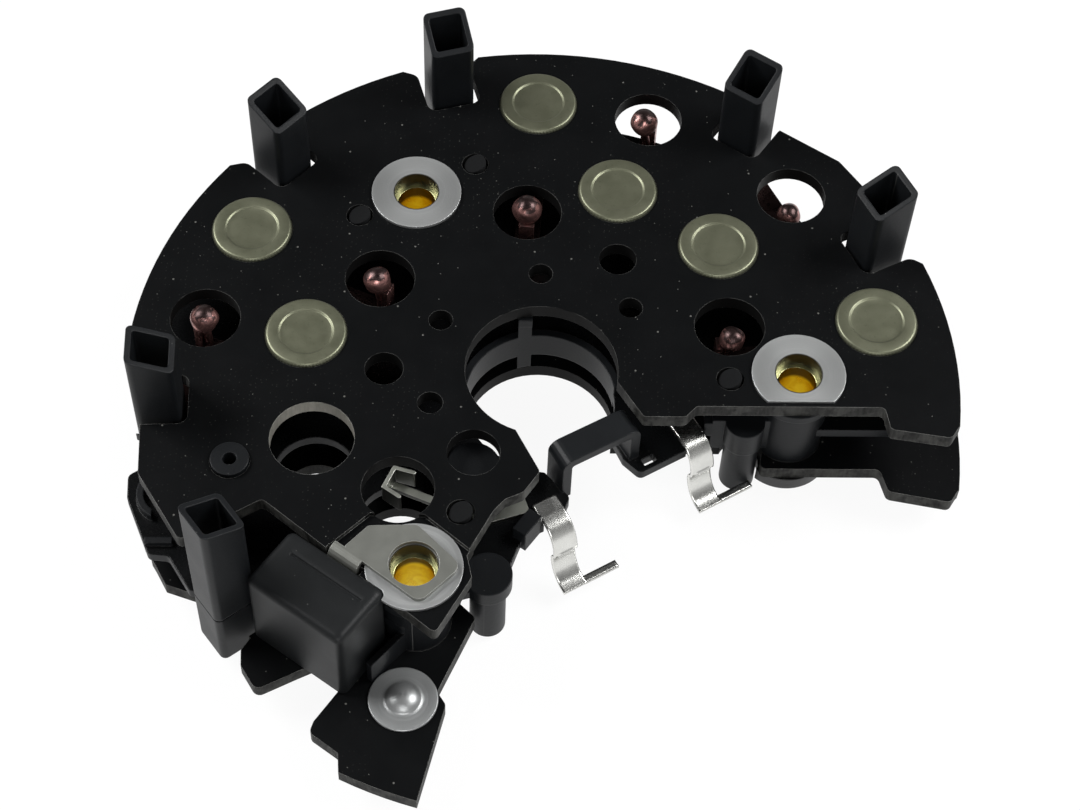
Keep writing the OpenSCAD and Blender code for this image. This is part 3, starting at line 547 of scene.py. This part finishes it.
def case_piece(finish):
    """Condenser case: rings of a rounded rectangle stacked up the walls, over the rounded shoulder
    and in to the seam along the top; each level is (z, inset across, inset along, share of the
    way from the middle of the top to the seam)."""
    shoulder = 1.15
    levels = [(CASE_Z, 1.2, 1.2, 0), (CASE_Z, 0.25, 0.25, 0), (CASE_Z + 0.25, 0, 0, 0)]
    levels += [(z, 0, 0, 0) for z in np.linspace(CASE_Z + 2, CASE_TOP - shoulder - 0.2, 6)]
    for s in np.linspace(0, math.pi / 2, 9):
        inset = shoulder - shoulder * math.cos(s)
        levels.append((CASE_TOP - shoulder + shoulder * math.sin(s), inset, inset, 0))
    crown = CASE_TOP + 0.02
    levels += [(crown, 2.2, 1.5, 0.25), (crown, 3.6, 1.9, 0.62), (crown, 4.9, 2.2, 0.95),
               (CASE_TOP - 0.03, 5.08, 2.26, 1), (CASE_TOP - 0.25, 5.16, 2.3, 1)]
    rings = []
    for z, across, along, share in levels:
        draft = (CASE_TOP - z) * 0.004
        length, width = CASE_L - 2 * along + draft, CASE_W - 2 * across + draft
        ring = rounded_ring(length, width, max(min(1.1 - across * 0.3, width / 2 - 0.01), 0.05))
        rings.append(np.column_stack([ring + [0.45 * share, SEAM_Y * share], np.full(len(ring), z)]))
    pts = np.concatenate(rings)
    cols = len(rings[0])
    faces = [list(q) for q in grid_faces(len(rings), cols, True)]
    faces.append([(len(rings) - 1) * cols + k for k in range(cols)])
    pts = turned_to(pts, CASE_TURN, *CASE_AT)
    return piece("condenser_case_moulding", pts, faces, finish, ["condenser_case"], sharp=40)


# Spring contacts: x and y of the blade's bend and the length of its root, then sizes of the strip
SPRINGS = [(1.7, -20.0, 2.6), (23.1, -5.4, 4.6)]
SPRING_TURN = math.radians(-60)
STRIP_W, STRIP_T = 4.0, 0.5
RIBS_AT, RIB_H = (0.36, 0.46), 0.28
TAIL_W, TAIL_FROM, TAIL_TO = 1.25, 1.8, 7.8


def blade_line(s):
    """Middle line of a spring blade: out 7.6 mm and down 11.4 mm in an S."""
    return 7.6 * s + 1.8 * np.sin(TAU * s), -11.4 * (s - 0.06 * np.sin(2 * TAU * s))


def spring_piece(i, finish):
    """A spring contact: the blade's line swept 4 mm wide, pressed ribs across it, and a thin tail
    at its foot; the sheet gets its thickness from Solidify."""
    x, y, root = SPRINGS[i]
    s = np.linspace(0, 1, 90)
    bx, bz = blade_line(s)
    line = np.concatenate([np.column_stack([np.linspace(-root, -0.15, 8), np.zeros(8)]),
                           np.column_stack([bx, bz])])
    w = np.linspace(-STRIP_W / 2, STRIP_W / 2, 17)
    step = np.gradient(line, axis=0)
    nrm = np.column_stack([-step[:, 1], step[:, 0]]) / np.linalg.norm(step, axis=1)[:, None]
    along = np.concatenate([np.full(8, -1.0), s])
    rib = sum(RIB_H * np.exp(-((along - at) / 0.016) ** 2) for at in RIBS_AT)
    tongue = rib[:, None] * (1 - ease((np.abs(w[None, :]) - 1.1) / 0.7))
    px = line[:, :1] + nrm[:, :1] * tongue
    pz = line[:, 1:] + nrm[:, 1:] * tongue
    py = w[None, :] + 0 * px
    pts = np.stack([px, py, pz], -1).reshape(-1, 3)
    faces = [list(q)[::-1] for q in grid_faces(len(line), len(w), False)]
    foot_x, foot_z = line[-1]
    tx = np.linspace(-TAIL_W, 0.0, 4)
    ty = np.linspace(TAIL_FROM, TAIL_TO, 16)
    tail = np.stack(np.meshgrid(foot_x + tx, ty, [foot_z], indexing="ij"), -1).reshape(-1, 3)
    pts, faces = joined([(pts, faces), (tail, [list(q)[::-1] for q in grid_faces(4, 16, False)])])
    pts = turned_to(pts, SPRING_TURN, x, y, WEB_TOP + STRIP_T / 2)
    obj = piece(f"spring_blade_{i + 1}", pts, faces, finish, [f"spring_contact_{i + 1}"],
                sharp=60)
    thick = obj.modifiers.new("thickness", "SOLIDIFY")
    thick.thickness, thick.offset = STRIP_T * MM, 0
    return obj


# The scene
place_camera()
black_sheet = anodised("anodised_sheet", (0.042, 0.042, 0.039))
carrier_plastic = moulding("carrier_plastic", (0.0052, 0.0059, 0.0068), 0.4, spec=0.17)
case_plastic = moulding("case_plastic", (0.0068, 0.0075, 0.008), 0.42, 0.35, spec=0.18)
washer_plastic = moulding("washer_plastic", (0.012, 0.012, 0.012), 0.4)
nickel_plate = nickel()
bead_copper = copper("bead_copper", 0.95)
strip_copper = copper("strip_copper", 0.9)
zinc_plate = zinc()
tin = tinned("tinned_plate", (0.15, 0.153, 0.138), 0.34, 0.6, metallic=0.6)
link_tin = tinned("tinned_link", (0.42, 0.43, 0.38), 0.26, 0.3, walls=0.85)
bright_strip = tinned("bright_strip", (0.72, 0.72, 0.69), 0.14, 1.0)
foil = plain("winding_foil", (0.5, 0.5, 0.5), 0.5, 1.0)
resin = plain("potting_resin", (0.03, 0.026, 0.02), 0.35)
KEPT = {"upper_heat_sink": black_sheet, "lower_heat_sink": black_sheet, "carrier": carrier_plastic,
        "terminal_plate": tin, "phase_link": link_tin, "condenser_lead": tin, "condenser_winding": foil,
        "condenser_resin": resin}
for number in range(1, 7):
    KEPT[f"phase_conductor_{number}"] = strip_copper
    KEPT[f"wire_tower_{number}"] = carrier_plastic
for number, mount in enumerate(MOUNTS, 1):
    KEPT[f"bush_{number}"] = turned(f"turned_bush_{number}", *polar(mount), shaded_bore_mm=3.5)
    KEPT[f"sleeve_{number}"] = zinc_plate
    KEPT[f"insulating_washer_{number}"] = washer_plastic
for node, look in KEPT.items():
    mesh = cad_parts[node].data
    mesh.materials.clear()
    mesh.materials.append(look)

for i in range(6):
    cup(f"upper_cup_{i + 1}", UPPER[i], UP_TOP + PROUD - CAN_H, False, nickel_plate, f"upper_diode_{i + 1}")
    upper_stem(f"upper_stem_{i + 1}", UPPER[i], strip_copper, f"upper_diode_{i + 1}")
    cup(f"lower_cup_{i + 1}", LOWER[i], LOW_Z - PROUD + CAN_H, True, nickel_plate, f"lower_diode_{i + 1}")
    beaded_stem(f"lower_stem_{i + 1}", i, bead_copper, f"lower_diode_{i + 1}")
rivet_pts, rivet_faces = lathe(RIVET_FORM)
dome_finish = turned("turned_dome", *RIVET, tone=(0.34, 0.348, 0.348))
piece("contact_dome", rivet_pts + [*RIVET, LOW_TOP], rivet_faces, dome_finish,
      ["contact_rivet"], sharp=35)
case_piece(case_plastic)
for i in range(2):
    spring_piece(i, bright_strip)


# Brightness of the surround at the horizon and overhead, and the heights between which it fades
SKY_LOW, SKY_HIGH = 0.46, 0.06
FADE_FROM, FADE_TO = 0.1, 0.75
FLOOR_SIDE = 6
# Soft lamps: name, place in metres, side in metres, power in watts
LAMPS = [("left_lamp", (-0.62, 0.22, 0.62), 0.45, 9.0), ("right_lamp", (0.62, 0.12, 0.66), 0.45, 9.0),
         ("front_lamp", (0.0, -0.75, 0.55), 0.5, 3.5)]


def white_floor():
    """White floor that the camera and mirrors see at an even brightness."""
    bpy.ops.mesh.primitive_plane_add(size=FLOOR_SIDE, location=(0, 0, (FLOOR_Z - 0.02) * MM))
    floor = bpy.context.object
    floor.name = "floor"
    f = Finish("floor_white")
    path = f.add("ShaderNodeLightPath")
    seen = f.math("MAXIMUM", Value(f, path.outputs["Is Camera Ray"]), Value(f, path.outputs["Is Glossy Ray"]))
    f.finish(Base_Color=(0.9, 0.9, 0.9), Roughness=0.9, Specular_IOR_Level=0.0)
    glow = f.add("ShaderNodeEmission", Color=(1, 1, 1), Strength=1.0)
    mix = f.add("ShaderNodeMixShader", sockets={0: seen * 0.93, 1: f.shader.outputs[0], 2: glow.outputs[0]})
    f.feed(f.tree.nodes["Material Output"].inputs[0], mix.outputs[0])
    floor.data.materials.append(f.mat)


def lamp(name, at, size, power):
    """A square soft lamp that points at the origin."""
    light = bpy.data.lights.new(name, "AREA")
    light.shape, light.size, light.energy = "SQUARE", size, power
    obj = bpy.data.objects.new(name, light)
    bpy.context.scene.collection.objects.link(obj)
    obj.matrix_world = Matrix.Translation(at) @ (-Vector(at)).to_track_quat("-Z", "Y").to_matrix().to_4x4()


def surround():
    """Surround that lights the part from pale at the horizon to dark overhead; the camera sees it white."""
    world = bpy.data.worlds.new("studio")
    world.use_nodes = True
    bpy.context.scene.world = world
    g = Graph(world.node_tree)
    height = g.xyz(g.coordinates.outputs["Generated"])[2]
    fade = g.add("ShaderNodeMapRange", Value=height, From_Min=FADE_FROM, From_Max=FADE_TO, To_Min=SKY_LOW,
                 To_Max=SKY_HIGH)
    sky = g.add("ShaderNodeBackground", Color=(1, 1, 1), Strength=fade.outputs[0])
    bright = g.add("ShaderNodeBackground", Color=(0.8, 0.8, 0.8), Strength=1.0)
    path = g.add("ShaderNodeLightPath")
    mix = g.add("ShaderNodeMixShader",
                sockets={0: path.outputs["Is Camera Ray"], 1: sky.outputs[0], 2: bright.outputs[0]})
    g.feed(g.tree.nodes["World Output"].inputs[0], mix.outputs[0])


white_floor()
for lamp_values in LAMPS:
    lamp(*lamp_values)
surround()
bpy.context.scene.view_settings.view_transform = "Standard"
bpy.context.view_layer.update()
